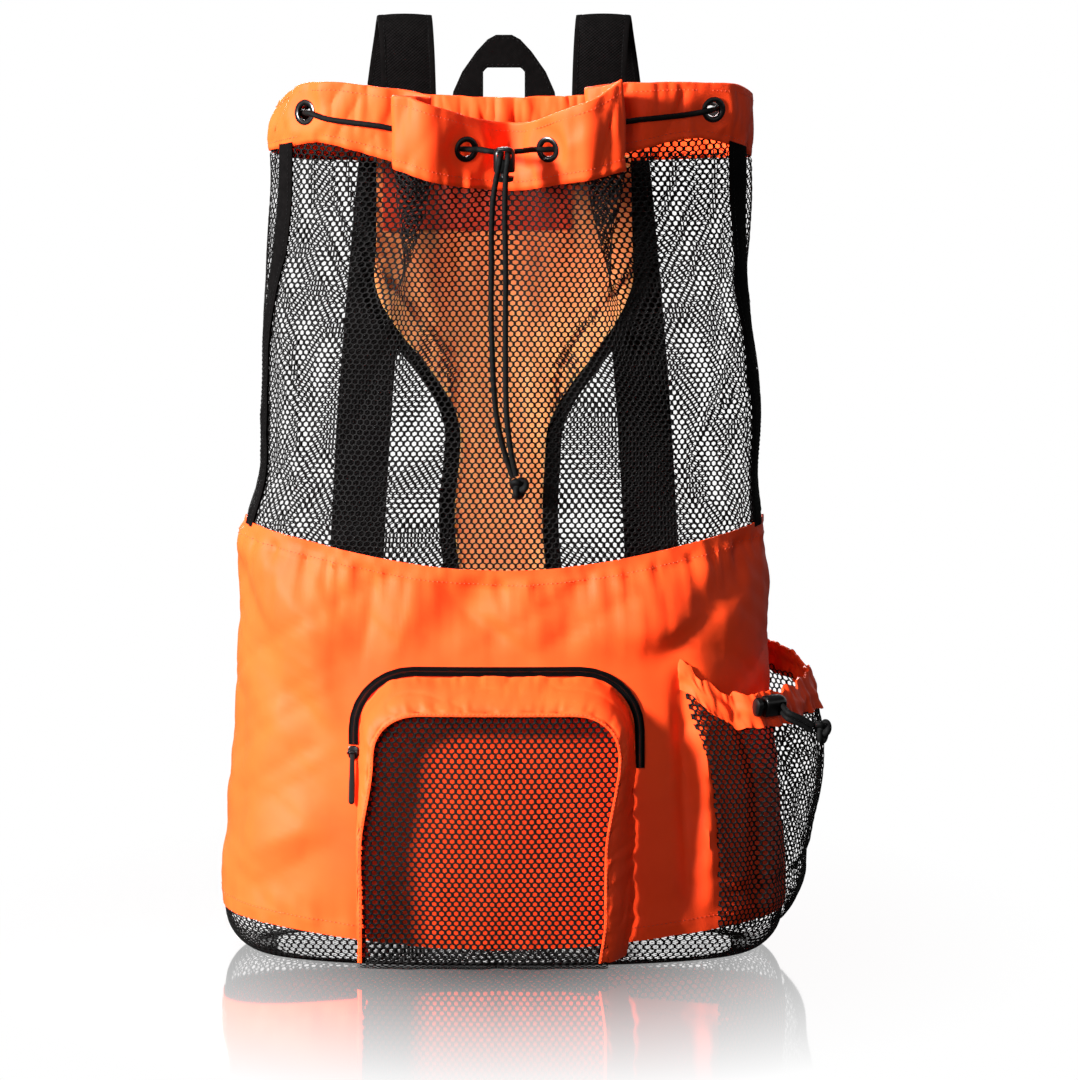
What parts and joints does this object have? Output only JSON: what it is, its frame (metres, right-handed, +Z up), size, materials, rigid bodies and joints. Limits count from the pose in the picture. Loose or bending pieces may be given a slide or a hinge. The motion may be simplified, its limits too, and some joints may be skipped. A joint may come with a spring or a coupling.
{
  "type": "mesh swim backpack",
  "caption": "Tall mesh swim backpack with a drawcord collar, a solid lower body, a zipped front pocket, a net side pocket, a haul handle and shoulder straps.",
  "frame": {"origin": "middle of the bag's net base, on the surface it stands on, at the bag's centre plane", "axes": "+Z up, +X to the bag's side-pocket side, -Y towards the pocketed front"},
  "size_m": [0.4309, 0.2613, 0.6467],
  "materials": {
    "nylon": "neon orange coated nylon with a soft sheen",
    "net": "black polyester net with rounded six-sided holes",
    "webbing": "matt black webbing and tape",
    "cord": "matt black braided cord",
    "plastic": "black moulded plastic",
    "grommet": "dark gunmetal"
  },
  "bodies": {
    "bag": {"base_net": "net", "lower_body": "nylon", "front_net": "net", "back_net_left": "net", "back_net_right": "net", "back_panel": "nylon", "yoke_patch": "nylon", "side_binding_left": "webbing", "side_binding_right": "webbing", "panel_binding_left": "webbing", "panel_binding_right": "webbing", "collar": "nylon", "grommet_1": "grommet", "grommet_2": "grommet", "grommet_3": "grommet", "grommet_4": "grommet", "grommet_5": "grommet", "grommet_6": "grommet", "grommet_7": "grommet", "grommet_8": "grommet", "drawcord": "cord", "cord_lock_body": "plastic", "cord_tail_left": "cord", "cord_tail_right": "cord", "cord_knot": "cord", "front_pocket_gusset": "nylon", "front_pocket_net": "net", "zipper": "webbing", "zip_slider": "grommet", "side_pocket_net": "net", "side_pocket_hem": "nylon", "pocket_lock_body": "plastic", "pocket_tail_left": "cord", "pocket_tail_right": "cord", "pocket_knot": "cord", "strap_left": "webbing", "strap_right": "webbing", "haul_handle": "webbing"},
    "zip_pull": {"zip_pull": "grommet"},
    "cord_lock_button": {"cord_lock_button": "plastic"},
    "pocket_lock_button": {"pocket_lock_button": "plastic"}
  },
  "joints": [
    {"name": "zip_pull_swing", "type": "hinge", "parent": "bag", "child": "zip_pull", "pos_m": [-0.10521, -0.09638, 0.15331], "axis": [-0.976, 0.2179, 0], "range_deg": [0, 150]},
    {"name": "cord_lock_press", "type": "slide", "parent": "bag", "child": "cord_lock_button", "axis": [0, 0, 1], "range_m": [0, 0.003], "stiffness_N_per_m": 400, "springref_m": -0.004},
    {"name": "pocket_lock_press", "type": "slide", "parent": "bag", "child": "pocket_lock_button", "axis": [0.853, 0.5219, 0], "range_m": [0, 0.003], "stiffness_N_per_m": 400, "springref_m": -0.004}
  ]
}
